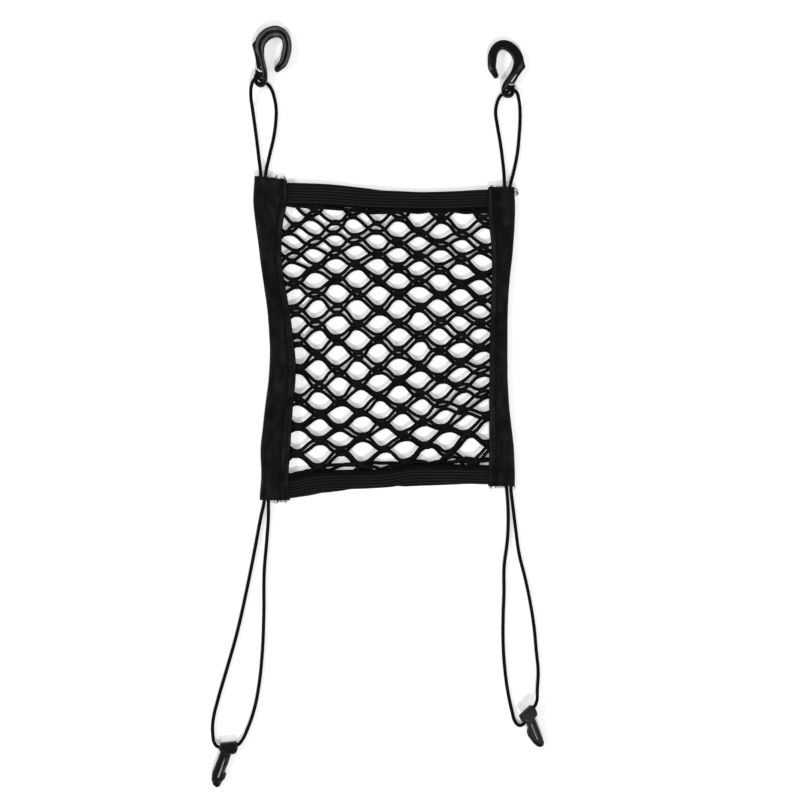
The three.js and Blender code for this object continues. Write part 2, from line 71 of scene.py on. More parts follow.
class Wire:
    def __init__(self, finish, socket):
        self.finish, self.socket = finish, socket

    def maths(self, operation, *values):
        return self.finish.add("ShaderNodeMath", {"operation": operation}, dict(enumerate(values)))

    def __add__(self, other):
        return self.maths("ADD", self, other)

    def __sub__(self, other):
        return self.maths("SUBTRACT", self, other)

    def __rsub__(self, other):
        return self.maths("SUBTRACT", other, self)

    def __mul__(self, other):
        return self.maths("MULTIPLY", self, other)

    __radd__ = __add__
    __rmul__ = __mul__

    def wave(self):
        return self.maths("SINE", self) * 0.5 + 0.5


class Finish:
    def __init__(self, name, **fixed):
        self.material = bpy.data.materials.new(name)
        self.material.use_nodes = True
        self.tree = self.material.node_tree
        self.shader = self.tree.nodes["Principled BSDF"]
        for words, value in fixed.items():
            self.shader.inputs[words.replace("_", " ")].default_value = value

    def add(self, kind, settings, inputs, output=0):
        node = self.tree.nodes.new(kind)
        for name, value in settings.items():
            if name == "stops":
                self.setStops(node.color_ramp.elements, value)
            else:
                setattr(node, name, value)
        for name, value in inputs.items():
            self.feed(node.inputs[name], value)
        return Wire(self, node.outputs[output])

    def setStops(self, elements, stops):
        while len(elements) < len(stops):
            elements.new(0.5)
        for element, (place, shade) in zip(elements, stops):
            element.position = place
            element.color = (*shade, 1)

    def feed(self, socket, value):
        if isinstance(value, Wire):
            self.tree.links.new(value.socket, socket)
        else:
            socket.default_value = value

    def parts(self, vector):
        return [self.add("ShaderNodeSeparateXYZ", {}, {0: vector}, i) for i in range(3)]

    def place(self):
        return self.add("ShaderNodeTexCoord", {}, {}, "Object")

    def lay(self):
        return self.add("ShaderNodeUVMap", {"uv_map": "UVMap"}, {})

    def mottle(self, where, scale, detail=3.0, rough=0.55):
        settings = {"Vector": where, "Scale": scale, "Detail": detail, "Roughness": rough}
        return self.add("ShaderNodeTexNoise", {}, settings, "Fac")

    def ramp(self, factor, *stops):
        return self.add("ShaderNodeValToRGB", {"stops": stops}, {0: factor})

    def bump(self, height, distance, strength=1.0, under=None):
        inputs = {"Height": height, "Distance": distance, "Strength": strength}
        if under:
            inputs["Normal"] = under
        return self.add("ShaderNodeBump", {}, inputs)

    def finish(self, **outputs):
        for words, value in outputs.items():
            self.feed(self.shader.inputs[words.replace("_", " ")], value)
        return self.material


def grey(level, tint=(0.94, 1.0, 1.1)):
    return tuple(level * share for share in tint)


def webbingFinish():
    # plain weave: weft ribs across the band and finer warp along it
    finish = Finish("webbing", Roughness=0.86, Specular_IOR_Level=0.1)
    across, along, _ = finish.parts(finish.lay())
    weft = (along * (2 * math.pi / 0.0017)).wave()
    warp = (across * (2 * math.pi / 0.0011)).wave()
    weave = weft * 0.65 + warp * 0.35
    fuzz = finish.mottle(finish.place(), 900)
    patches = finish.mottle(finish.place(), 60, 4, 0.65)
    # painted shade and highlight from the band's relief: darker in the seam and tucks, paler by seam, lip
    # and fold
    paintedShading = finish.add("ShaderNodeAttribute", {"attribute_name": "rib"}, {}, "Fac")
    tone = patches * 0.4 + weave * 0.15 + fuzz * 0.1 + paintedShading * 0.35
    colour = finish.ramp(tone, (0.2, grey(0.0006)), (0.45, grey(0.004)), (0.75, grey(0.022)))
    relief = finish.bump(weave + fuzz * 0.5, 0.0004, 0.9)
    return finish.finish(Base_Color=colour, Normal=relief)


def ribbedFinish():
    # knitted elastic: rows of small stitches along each rib
    finish = Finish("ribbedElastic", Roughness=0.82, Specular_IOR_Level=0.1)
    across, along, _ = finish.parts(finish.lay())
    # rib is painted shade: darker in the grooves between the ribs and along the plain strip by the mouth
    rib = finish.add("ShaderNodeAttribute", {"attribute_name": "rib"}, {}, "Fac")
    stitch = (along * (2 * math.pi / 0.0016) + across * 900).wave()
    fuzz = finish.mottle(finish.place(), 800)
    patches = finish.mottle(finish.place(), 20, 4)
    tone = patches * 0.25 + stitch * 0.2 * rib + fuzz * 0.15 + rib * 0.45
    colour = finish.ramp(tone, (0.3, grey(0.0005)), (0.6, grey(0.0055)), (0.9, grey(0.02)))
    relief = finish.bump(stitch * 0.6 + fuzz * 0.6, 0.00022, 0.8)
    return finish.finish(Base_Color=colour, Normal=relief)


def cordFinish(name, level, plait, rise):
    # a plaited cover: two sets of turns that cross; the map runs round the cord and along it
    finish = Finish(name, Roughness=0.72, Specular_IOR_Level=0.1)
    around, along, _ = finish.parts(finish.lay())
    turn = 2 * math.pi
    left = (around * (3 * turn) + along * (turn / plait)).wave()
    right = (around * (3 * turn) - along * (turn / plait)).wave()
    cover = left * right
    fuzz = finish.mottle(finish.place(), 1100)
    patches = finish.mottle(finish.place(), 34, 3)
    tone = cover * 0.4 + patches * 0.4 + fuzz * 0.2
    colour = finish.ramp(tone, (0.15, grey(level * 0.6)), (0.5, grey(level)), (0.9, grey(level * 1.9)))
    relief = finish.bump(cover + fuzz * 0.35, rise, 0.9)
    return finish.finish(Base_Color=colour, Normal=relief)


def mouldingFinish():
    # satin plastic, painted paler along its edges and rim tops as wear and a highlight, and a little rough
    # there
    finish = Finish("moulding", Specular_IOR_Level=0.2)
    edge = finish.add("ShaderNodeAttribute", {"attribute_name": "edge"}, {}, "Fac")
    place = finish.place()
    grain = finish.mottle(place, 1500, 2)
    clouds = finish.mottle(place, 90, 4)
    scuffs = finish.mottle(place, 420, 5, 0.7)
    # edge pales the colour on sharp edges and rim tops: part wear, part painted highlight
    wearAndHighlight = (clouds * 0.6 + scuffs * 0.4) * 0.5 + edge * (scuffs + 0.35) * 0.55
    colour = finish.ramp(wearAndHighlight, (0.15, grey(0.0018)), (0.32, grey(0.0038)), (0.8, grey(0.085)))
    rough = clouds * 0.16 + scuffs * 0.14 + 0.15 + edge * 0.1
    relief = finish.bump(grain + clouds, 0.00005, 0.5)
    return finish.finish(Base_Color=colour, Roughness=rough, Normal=relief)


def threadFinish():
    finish = Finish("thread", Roughness=0.7, Specular_IOR_Level=0.15)
    fuzz = finish.mottle(finish.place(), 1400)
    colour = finish.ramp(fuzz, (0.3, grey(0.0015)), (0.7, grey(0.0075)))
    return finish.finish(Base_Color=colour)


webbing = webbingFinish()
ribbedElastic = ribbedFinish()
netCord = cordFinish("netCord", 0.0036, 0.0042, 0.0002)
loopCord = cordFinish("loopCord", 0.003, 0.0036, 0.0002)
moulding = mouldingFinish()
thread = threadFinish()


# Meshes and objects


def newPiece(name, mesh, material):
    mesh.materials.clear()
    mesh.materials.append(material)
    piece = addObject(name, mesh)
    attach(piece, "root")
    return piece


def meshFrom(bm, name, smooth=True):
    mesh = bpy.data.meshes.new(name)
    bm.to_mesh(mesh)
    bm.free()
    if smooth:
        mesh.shade_smooth()
    return mesh


# A curve through points: a bezier curve with eased handles, or a bare one that bends only at its
# points.
def curveThrough(points, radius, sides, steps):
    curve = bpy.data.curves.new("curve", "CURVE")
    curve.dimensions = "3D"
    curve.resolution_u = steps
    curve.bevel_depth = radius
    curve.bevel_resolution = max(0, sides // 2 - 2)
    curve.use_fill_caps = True
    eased = steps > 1
    spline = curve.splines.new("BEZIER" if eased else "POLY")
    places = spline.bezier_points if eased else spline.points
    places.add(len(points) - 1)
    for place, point in zip(places, points):
        place.co = point if eased else (*point, 1)
        if eased:
            place.handle_left_type = place.handle_right_type = "AUTO"
    return curve


def meshOf(curve):
    holder = bpy.data.objects.new("holder", curve)
    mesh = bpy.data.meshes.new_from_object(holder)
    bpy.data.objects.remove(holder)
    return mesh


def centreLine(points, steps):
    curve = curveThrough(points, 0, 4, steps)
    line = meshOf(curve)
    return [vert.co.copy() for vert in line.vertices]


def lineLength(line):
    return sum((b - a).length for a, b in zip(line, line[1:]))


# Adds a round cord to a bmesh. Its map runs once round the cord, and along it in metres.
def addCord(bm, points, radius, sides=12, steps=1):
    mesh = meshOf(curveThrough(points, radius, sides, steps))
    length = lineLength(centreLine(points, steps))
    for corner in mesh.uv_layers[0].data:
        corner.uv.y *= length
    bm.from_mesh(mesh)
    bpy.data.meshes.remove(mesh)
    return length


def closeCords(bm):
    bmesh.ops.remove_doubles(bm, verts=bm.verts[:], dist=1e-6)
    bmesh.ops.recalc_face_normals(bm, faces=bm.faces[:])


# Loops: the way each one runs, out of its band, through its hook or clip, and back into the band. Where
# a point has no height, the cord lies on the floor.

loops = {"diameter": 0.0033, "sides": 16, "steps": 5, "lying": 0.00175}
loopRoutes = {
    "loop_top_left": (
        (-0.1202, 0.146, 0.0031), (-0.1201, 0.1575, 0.003), (-0.1219, 0.173), (-0.1248, 0.197),
        (-0.128, 0.2201, 0.002), (-0.1293, 0.2319, 0.0046), (-0.1284, 0.2406, 0.0086),
        (-0.1256, 0.2464, 0.0109), (-0.1222, 0.2482, 0.0104), (-0.1205, 0.2479, 0.007),
        (-0.1193, 0.2474, 0.0036), (-0.1164, 0.2461, 0.0018), (-0.113, 0.2436), (-0.1098, 0.2391),
        (-0.1071, 0.231), (-0.1054, 0.221), (-0.1056, 0.2089), (-0.1075, 0.194), (-0.1123, 0.173),
        (-0.1153, 0.1575, 0.003), (-0.1156, 0.146, 0.0031),
    ),
    "loop_top_right": (
        (0.1136, 0.1355, 0.0031), (0.1134, 0.147, 0.003), (0.1132, 0.156, 0.0023), (0.1118, 0.171),
        (0.1094, 0.189), (0.1066, 0.2052), (0.1051, 0.2168), (0.1064, 0.2259), (0.1096, 0.2327),
        (0.1128, 0.2353, 0.0018), (0.1158, 0.2362, 0.0032), (0.1168, 0.2366, 0.0056),
        (0.1178, 0.237, 0.0087), (0.1206, 0.2372, 0.01), (0.1244, 0.2349, 0.0094),
        (0.127, 0.2288, 0.0058), (0.1284, 0.2197, 0.0026), (0.1285, 0.2085), (0.1277, 0.195),
        (0.1258, 0.177), (0.122, 0.1585, 0.0021), (0.119, 0.147, 0.003), (0.1182, 0.1355, 0.0031),
    ),
    "loop_bottom_left": (
        (-0.1162, -0.145, 0.0031), (-0.1168, -0.1565, 0.003), (-0.12, -0.171), (-0.1258, -0.202),
        (-0.1334, -0.24), (-0.1426, -0.281), (-0.1536, -0.32), (-0.1613, -0.3465),
        (-0.166, -0.3675, 0.0019), (-0.166, -0.379, 0.0026), (-0.1642, -0.3874, 0.0033),
        (-0.1604, -0.3908, 0.0038), (-0.156, -0.3903, 0.0038), (-0.151, -0.3898, 0.0038),
        (-0.146, -0.3893, 0.0038), (-0.1417, -0.3886, 0.0037), (-0.1382, -0.385, 0.003),
        (-0.1328, -0.374, 0.0019), (-0.1266, -0.356), (-0.1229, -0.339), (-0.119, -0.306),
        (-0.1172, -0.265), (-0.1168, -0.224), (-0.1142, -0.192), (-0.1128, -0.171),
        (-0.1126, -0.1565, 0.003), (-0.112, -0.145, 0.0031),
    ),
    "loop_bottom_right": (
        (0.115, -0.1315, 0.0031), (0.1156, -0.143, 0.003), (0.1168, -0.158), (0.1172, -0.176),
        (0.1162, -0.195), (0.1133, -0.218), (0.1131, -0.243), (0.1123, -0.268), (0.1124, -0.294),
        (0.1142, -0.319), (0.1171, -0.34), (0.1208, -0.357), (0.1238, -0.367), (0.1278, -0.3706),
        (0.1314, -0.3694), (0.1334, -0.3656), (0.1334, -0.3618, 0.0021), (0.1334, -0.3596, 0.0042),
        (0.1342, -0.3583, 0.0068), (0.136, -0.3565, 0.0078), (0.1386, -0.3541, 0.008),
        (0.1412, -0.3517, 0.008), (0.1439, -0.347, 0.0066), (0.145, -0.335, 0.003), (0.1459, -0.319),
        (0.144, -0.2985), (0.1421, -0.2775), (0.1382, -0.2525), (0.1334, -0.2295), (0.1277, -0.2065),
        (0.1244, -0.183), (0.1216, -0.16, 0.0018), (0.1199, -0.146, 0.0028), (0.1196, -0.138, 0.0031),
        (0.1193, -0.1315, 0.0031),
    ),
}
loopRoutes = {
    name: [(*point, loops["lying"])[:3] for point in route] for name, route in loopRoutes.items()
}


def makeLoop(name, route):
    bm = bmesh.new()
    addCord(bm, route, loops["diameter"] / 2, loops["sides"], loops["steps"])
    closeCords(bm)
    cord = newPiece(name + "_cord", meshFrom(bm, name), loopCord)
    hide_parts(name)
    return cord


def declareLoop(route):
    line = centreLine(route, loops["steps"])


loopCords = {name: makeLoop(name, route) for name, route in loopRoutes.items()}
print("loops made")


# Tables. reader gives the readings between the rows of one, on a smooth curve.


def reader(rows):
    keys = [row[0] for row in rows]
    last = len(rows) - 1

    def read(at):
        i = next((n for n in range(1, last) if at < keys[n]), last)
        low, high = rows[i - 1], rows[i]
        before = rows[i - 2] if i > 1 else (2 * low[0] - high[0], *high[1:])
        after = rows[i + 1] if i < last else (2 * high[0] - low[0], *low[1:])
        span = high[0] - low[0]
        p = (at - low[0]) / span
        wBefore = span / 2 / (low[0] - before[0])
        wAfter = span / 2 / (after[0] - high[0])
        shares = (
            -wBefore * p**3 + 2 * wBefore * p**2 - wBefore * p,
            (1 + wBefore) * p**3 - (1.5 + 2 * wBefore) * p**2 + (wBefore - 0.5) * p + 1,
            -(1 + wAfter) * p**3 + (1.5 + wAfter) * p**2 + 0.5 * p,
            wAfter * p**3 - wAfter * p**2,
        )
        four = (before, low, high, after)
        return [sum(share * row[n] for share, row in zip(shares, four)) for n in range(1, len(low))]

    return read


# Bands: each one's place along its length, then its fold and its mouth there

sideRows = {
    "band_left": (
        (-0.1545, -0.1205, -0.0922),
        (-0.132, -0.119, -0.0934),
        (-0.108, -0.1198, -0.092),
        (-0.075, -0.1165, -0.09),
        (-0.027, -0.1112, -0.0865),
        (0.017, -0.1123, -0.091),
        (0.075, -0.12, -0.0998),
        (0.11, -0.1245, -0.099),
        (0.13, -0.1267, -0.0952),
        (0.1555, -0.1256, -0.095),
    ),
    "band_right": (
        (-0.141, 0.1232, 0.098),
        (-0.105, 0.122, 0.0989),
        (-0.06, 0.1173, 0.0989),
        (0.0, 0.116, 0.0996),
        (0.045, 0.1172, 0.101),
        (0.085, 0.1212, 0.1013),
        (0.12, 0.1233, 0.098),
        (0.145, 0.1226, 0.0979),
    ),
}
ribbedRows = {
    "band_top": (
        (-0.112, 0.15, 0.129),
        (-0.094, 0.1495, 0.1286),
        (-0.058, 0.1478, 0.1277),
        (-0.02, 0.144, 0.1248),
        (0.03, 0.1402, 0.1234),
        (0.06, 0.1408, 0.1233),
        (0.098, 0.1434, 0.1248),
        (0.109, 0.1436, 0.125),
    ),
    "band_bottom": (
        (-0.11, -0.153, -0.1318),
        (-0.092, -0.153, -0.1315),
        (-0.072, -0.1498, -0.1277),
        (-0.049, -0.1459, -0.1258),
        (0.0, -0.142, -0.1246),
        (0.02, -0.141, -0.121),
        (0.057, -0.1397, -0.12),
        (0.098, -0.1392, -0.121),
        (0.109, -0.1392, -0.121),
    ),
}
leftBand, rightBand = reader(sideRows["band_left"]), reader(sideRows["band_right"])
sideReaders = {"band_left": leftBand, "band_right": rightBand}
topBand, bottomBand = reader(ribbedRows["band_top"]), reader(ribbedRows["band_bottom"])

# A folded tape. A ribbed one is pinched where it lies under a side band, and is let out beyond it.
tape = {"thick": 0.0009, "height": 0.0069, "pinch": 0.0013, "under": 0.001, "release": 0.008}


def foldRadius(pressed):
    return (tape["height"] - tape["thick"]) / 2 - tape["pinch"] * pressed


# The middle of a folded tape: how far in from its fold, and how high, at a length along its section
# from the edge of its lower leaf. It also gives the way out of the surface there.
def foldedPlace(length, depth, pressed):
    radius = foldRadius(pressed)
    middle = tape["height"] / 2
    leaf = depth - radius
    if length < leaf:
        return Vector((depth - length, middle - radius)), Vector((0, -1))
    turned = (length - leaf) / radius
    if turned < math.pi:
        out = Vector((-math.sin(turned), -math.cos(turned)))
        return Vector((radius, middle)) + out * radius, out
    return Vector((length - leaf - math.pi * radius + radius, middle + radius)), Vector((0, 1))


def sectionLength(depth, pressed=0):
    radius = foldRadius(pressed)
    return 2 * (depth - radius) + math.pi * radius


# A tape folded along its length: a flat grid, mapped in metres, then laid in its fold. relief gives how
# far the surface stands out, and its painted shade and highlight, from the depth in from the fold, the
# depth in from the mouth, the place along it and the way it faces. ends shifts a cut end, and pressedAt
# tells where the fold is pressed.
def foldedTape(name, rows, crosswise, cells, relief, ends=lambda depth, at: 0, pressedAt=lambda at: 0):
    read = reader(rows)
    low, high = rows[0][0], rows[-1][0]
    middleRow = read((low + high) / 2)
    width = sectionLength(abs(middleRow[1] - middleRow[0]))
    bm = bmesh.new()
    uv = bm.loops.layers.uv.new("UVMap")
    # the rib attribute holds each point's painted shade and highlight for the band finishes
    rib = bm.verts.layers.float.new("rib")
    counts = {"x_segments": round(width / cells[0]), "y_segments": round((high - low) / cells[1])}
    bmesh.ops.create_grid(bm, size=0.5, **counts)
    for face in bm.faces:
        for loop in face.loops:
            spot = loop.vert.co
            loop[uv].uv = ((spot.x + 0.5) * width, (spot.y + 0.5) * (high - low))
    for vert in bm.verts:
        at = low + (vert.co.y + 0.5) * (high - low)
        fold, mouth = read(at)
        pressed = pressedAt(at)
        depth = abs(mouth - fold)
        spot, out = foldedPlace((vert.co.x + 0.5) * sectionLength(depth, pressed), depth, pressed)
        lift, vert[rib] = relief(spot.x, depth - spot.x, at, out.y)
        spot += out * lift
        inward = fold + math.copysign(spot.x, mouth - fold)
        along = at + ends(spot.x, at)
        vert.co = (along, inward, spot.y) if crosswise else (inward, along, spot.y)
    bmesh.ops.recalc_face_normals(bm, faces=bm.faces[:])
    return meshFrom(bm, name)


def makeBand(node, rows, mesh, kind, material):
    piece = newPiece(node + "_" + kind, mesh, material)
    shell = piece.modifiers.new("thickness", "SOLIDIFY")
    shell.thickness = tape["thick"]
    shell.offset = 0
    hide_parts(node)
    width = sectionLength(abs(rows[0][2] - rows[0][1]))


def bell(distance, width, height=1):
    return height * math.exp(-((distance / width) ** 2))


def waviness(x, y, seed, size, height=1):
    return height * noise.noise(Vector((x / size, y / size, seed)))


# Widths and heights of what shows in a band's surface: its waves and creases, the seam and the puckers
# beside it, the lip at its mouth, its tucks, and the painted highlights, paler lines beside the seam,
# along the lip and along the fold
sideBand = {
    "span": 0.3,
    "cells": (0.0009, 0.0014),
    "wave": (0.026, 0.0006),
    "crease": 0.011,
    "seam": 0.0011,
    "sink": 0.00045,
    "pucker": 0.00012,
    "puckerPitch": 0.0006,
    "puckerReach": 0.003,
    "lip": (0.0015, 0.00018),
    "tuck": (0.0024, 0.0009),
    "seamHighlight": (-0.0016, 0.0007),
    "lipHighlight": (0.0012, 0.0006),
    "foldHighlight": 0.002,
}
seams = {"band_left": (0.0085, 0.0042), "band_right": (0.0065, 0.0045)}  # in from the mouth, low and high
tucks = {
    "band_left": ((0.0035, 0.1286), (0.006, -0.131), (0.003, -0.06), (0.012, 0.043)),
    "band_right": ((0.0096, 0.1363), (0.0094, 0.1238), (0.0085, 0.1114), (0.006, -0.1258), (0.007, 0.02)),
}
ribbedBand = {
    "cells": (0.00042, 0.0022),
    "rib": 0.00285,
    "groove": (0.00068, 0.0008),
    "drift": (0.04, 0.0004),
    "wave": (0.03, 0.0002),
    "lip": (0.0012, 0.00015),
    "plain": {"band_top": 0.0013, "band_bottom": 0.0045},
}


def seamAt(node, at):
    low, high = seams[node]
    return low + (high - low) * (at / sideBand["span"] + 0.5)


def highlightLine(distance, spot, width):
    return bell(distance - spot, width)


def sideRelief(node, seed):
    def relief(fromFold, fromMouth, at, faces):
        offSeam = fromMouth - seamAt(node, at)
        seam = bell(offSeam, sideBand["seam"], sideBand["sink"])
        if faces > 0:
            nearest = [math.hypot(fromMouth - x, (at - y) * 0.6) for x, y in tucks[node]]
            seam += sum(bell(distance, *sideBand["tuck"]) for distance in nearest)
        gathers = math.sin(at / sideBand["puckerPitch"]) * bell(offSeam, sideBand["puckerReach"])
        slack = waviness(fromFold * 1.4, at, seed + faces, *sideBand["wave"])
        crease = waviness(fromFold * 2.2, at, seed + 5, sideBand["crease"]) + 0.5 * gathers
        highlights = highlightLine(offSeam, *sideBand["seamHighlight"]) + highlightLine(fromMouth, *sideBand["lipHighlight"])
        highlights += bell(fromFold, sideBand["foldHighlight"])
        # along the creases and puckers, which show only in colour, and paler on the lines by seam, lip and
        # fold
        # painted shade and highlight for the colour: darker in the seam and the tucks, lighter and darker
        paintedShading = 0.45 + 0.35 * crease + 0.4 * highlights - 0.6 * min(1, seam / sideBand["sink"])
        lift = slack * (0.5 if faces < 0 else 1) + sideBand["pucker"] * gathers
        return lift - seam - bell(fromMouth, *sideBand["lip"]), max(0, min(1, paintedShading))

    return relief


def ribRelief(node, seed):
    width, deep = ribbedBand["groove"]

    def relief(fromFold, fromMouth, at, faces):
        drift = waviness(fromFold, at, seed, *ribbedBand["drift"])
        count = (fromMouth + drift - ribbedBand["plain"][node]) / ribbedBand["rib"]
        groove = bell((count - round(count)) * ribbedBand["rib"], width)
        shown = 1 if count > -0.3 else 0
        lift = waviness(fromFold * 1.4, at, seed + faces, *ribbedBand["wave"]) - groove * shown * deep
        # second value: painted shade, darker in the grooves between ribs and along the plain strip by the
        # mouth
        return lift - bell(fromMouth, *ribbedBand["lip"]), (1 - groove) * (0.15 + 0.85 * shown)

    return relief


# A cut end's slope, from a little way in from the fold, and its uneven edge. Both die out along the
# band.
cutEnd = {"reach": 0.012, "uneven": 0.0006, "size": 0.004, "slopeFrom": 0.004}


def ragged(low, high, seed, slope):
    def ends(fromFold, at):
        near = max(0.0, 1 - min(at - low, high - at) / cutEnd["reach"])
        uneven = cutEnd["uneven"] * waviness(fromFold, 0, seed + (at > 0), cutEnd["size"])
        lean = -slope * max(0.0, fromFold - cutEnd["slopeFrom"]) if at > 0 else 0
        return near * (uneven + lean)

    return ends


sideSeeds = {"band_left": (3.0, 0.13), "band_right": (9.0, 0.0)}  # and the slope of the top end


def makeSideBand(node, seed, slope):
    rows = sideRows[node]
    ends = ragged(rows[0][0], rows[-1][0], seed, slope)
    mesh = foldedTape(node, rows, False, sideBand["cells"], sideRelief(node, seed), ends=ends)
    makeBand(node, rows, mesh, "webbing", webbing)


def makeRibbedBand(node, seed):
    rows = ribbedRows[node]
    leftMouth = leftBand(rows[0][2])[1]
    rightMouth = rightBand(rows[-1][2])[1]

    def pressedAt(at):
        inside = min(at - leftMouth - tape["under"], rightMouth - tape["under"] - at)
        return 1 - max(0.0, min(1.0, inside / tape["release"]))

    relief = ribRelief(node, seed)
    mesh = foldedTape(node, rows, True, ribbedBand["cells"], relief, pressedAt=pressedAt)
    makeBand(node, rows, mesh, "elastic", ribbedElastic)


# Net: rows of holes between wavy cords that touch where the trough of one meets the peak of the next.
# Each row of the table gives the x of its first and last columns, the y of both ends, and its sag above
# a straight line.

net = {
    "rows": (-3, 21),
    "columns": 10,
    "cord": 0.0034,
    "apart": 0.0022,
    "flat": 0.62,
    "tuck": 0.0075,
    "back": 0.0023,
    "front": 0.0046,
    "square": 0.15,
    "stray": 0.0017,
    "cross": 0.0003,
    "squashed": 0.86,
    "shortest": 4,
    "knot": (0.0048, 0.0027, 0.0018),
}
# Without a seed, vectors of noise change with the clock, and the net with them
noise.seed_set(7)
holeRows = (
    (-3, -0.09, 0.092, 0.155, 0.146, 0.003),
    (1, -0.09, 0.094, 0.1056, 0.0973, 0.004),
    (5, -0.0885, 0.092, 0.054, 0.0495, 0.0045),
    (9, -0.0846, 0.0894, -0.002, 0.0035, -0.0005),
    (13, -0.0845, 0.092, -0.0585, -0.042, -0.0055),
    (17, -0.0845, 0.099, -0.1085, -0.0875, -0.0075),
    (21, -0.084, 0.104, -0.164, -0.136, -0.001),
)
# How far the back layer has slipped from the front one at a height y: on the left, in the middle, on
# the right
slipRows = (
    (-0.115, 0, -0.0035, 0, -0.003, 0.0005, -0.0035),
    (-0.06, 0.0005, -0.0045, 0.001, -0.0045, 0.002, -0.006),
    (0, 0.0015, -0.0065, -0.0005, -0.005, 0, -0.005),
    (0.06, -0.001, -0.0065, 0.0015, -0.0045, -0.0005, -0.0045),
    (0.12, -0.0065, -0.0085, 0.0015, -0.0075, 0.001, -0.006),
)
slipSide = 0.075
rowAt, slipAt = reader(holeRows), reader(slipRows)


def netPoint(column, row):
    first, last, left, right, sag = rowAt(row)
    share = column / (net["columns"] - 1)
    bow = 4 * sag * share * (1 - share)
    return Vector((first + (last - first) * share, left + (right - left) * share + bow))


# Where a point of the flat net comes to lie: the two layers share one sway, and each has a smaller one
# of its own
def layPoint(point, layer):
    x, y = point
    slip = slipAt(y)
    share = min(abs(x) / slipSide, 1)
    middle, side = Vector(slip[2:4]), Vector(slip[0:2] if x < 0 else slip[4:6])
    sway = 0.0009 * math.sin(y / 0.021 + x / 0.047) + layer * 0.0012 * math.sin(x / 0.013 + y / 0.019)
    bob = 0.0011 * math.sin(x / 0.016 - y / 0.033) + layer * 0.0012 * math.sin(y / 0.011 - x / 0.023)
    stray = noise.noise_vector(Vector((x / 0.014, y / 0.014, 5 + layer * 9))) * net["stray"]
    return Vector((x + sway + stray.x, y + bob + stray.y)) + middle.lerp(side, share) * layer


# One cord of a layer, below a row of holes
def netStrand(row, layer, height):
    perColumn = 12
    line = []
    for i in range(-perColumn, (net["columns"] + 1) * perColumn + 1):
        column = i / perColumn
        spacing = netPoint(column, row).y - netPoint(column, row + 1).y
        swing = math.cos(math.pi * (column - row))
        swing *= 1 + net["square"] * (1 - swing**2)
        point = netPoint(column, row + 0.5)
        point.y -= (spacing - net["apart"]) / 2 * swing
        laid = layPoint(point, layer)
        over = net["cross"] * math.sin(math.pi * (column - row)) / net["flat"]
        line.append(Vector((laid.x, laid.y, height + over)))
    return line


def insideBands(point):
    tuck = net["tuck"]
    inSides = leftBand(point.y)[1] - tuck < point.x < rightBand(point.y)[1] + tuck
    return inSides and bottomBand(point.x)[1] - tuck < point.y < topBand(point.x)[1] + tuck


def runsInside(line):
    for inside, run in itertools.groupby(line, insideBands):
        run = list(run)
        if inside and len(run) > net["shortest"]:
            yield run


# The net's outermost cord, which is sewn in along a ribbed band and shows here and there past its mouth
edgeCord = {"reaches": (0.004, 0.0068), "inset": (0.012, 0.004), "steps": 160, "under": 0.0012}


def netEdge(read, reach, layer, height):
    rows = ribbedRows["band_top"]
    low, high = rows[0][0] + edgeCord["inset"][0], rows[-1][0] - edgeCord["inset"][1]
    line = []
    for i in range(edgeCord["steps"] + 1):
        x = low + (high - low) * i / edgeCord["steps"]
        fold, mouth = read(x)
        shown = 0.5 + math.sin(x / 0.019 + layer * 5) * 0.5 + waviness(x, layer, 31, 0.024)
        beyond = reach * shown - edgeCord["under"]
        line.append(Vector((x, mouth + math.copysign(beyond, mouth - fold), height)))
    return line


# A knot binds two cords of a layer wherever they meet
def addKnots(bm, layer, height):
    bead = bmesh.new()
    bmesh.ops.create_uvsphere(bead, u_segments=10, v_segments=6, radius=1, calc_uvs=True)
    knot = meshFrom(bead, "knot")
    first, last = net["rows"]
    for row in range(first, last + 2):
        for column in range(-1, net["columns"] + 1):
            spot = layPoint(netPoint(column, row), layer)
            if (column + row) % 2 == 0 or not insideBands(spot):
                continue
            stray = noise.noise_vector(Vector((column * 3.1, row * 2.3, layer)))
            size = Matrix.Diagonal((*net["knot"], 1)) @ Matrix.Scale(1 + 0.3 * stray.y, 4)
            one = knot.copy()
            turn = Matrix.Rotation(0.6 * stray.x, 4, "Z")
            one.transform(Matrix.Translation((*spot, height)) @ turn @ size)
            bm.from_mesh(one)
            bpy.data.meshes.remove(one)


def makeNet(node, layer, height):
    bm = bmesh.new()
    total = 0
    first, last = net["rows"]
    rows = range(first, last + 1)
    strands = [run for row in rows for run in runsInside(netStrand(row, layer, height))]
    for read, reach in zip((topBand, bottomBand), edgeCord["reaches"]):
        strands.append(netEdge(read, reach, layer, height))
    for strand in strands:
        total += addCord(bm, strand, net["cord"] / 2, 10)
    closeCords(bm)
    addKnots(bm, layer, height)
    for vert in bm.verts:
        vert.co.z = height + (vert.co.z - height) * net["flat"]
    piece = newPiece(node + "_cords", meshFrom(bm, node), netCord)
    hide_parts(node)
    print(node, "has", round(total, 2), "m of cord")


makeNet("net_back", 0.5, net["back"])
makeNet("net_front", -0.5, net["front"])
for node, (seed, slope) in sideSeeds.items():
    makeSideBand(node, seed, slope)
makeRibbedBand("band_top", 14.0)
makeRibbedBand("band_bottom", 21.0)
print("net and bands made")


# Sewing on the side bands: seams of short stitches, zigzag bartacks, and threads that have worked loose

sewing = {
    "stitch": 0.0027,
    "gap": 0.0009,
    "thread": 0.00042,
    "dip": 0.0004,
    "zigzag": 0.0006,
    "loose": 0.0008,
    "fray": 0.0003,
    "frays": 46,
    "frayReach": (0.0008, 0.0026),
    "frayRoot": 0.0012,
    "frayCurl": 0.0008,
}
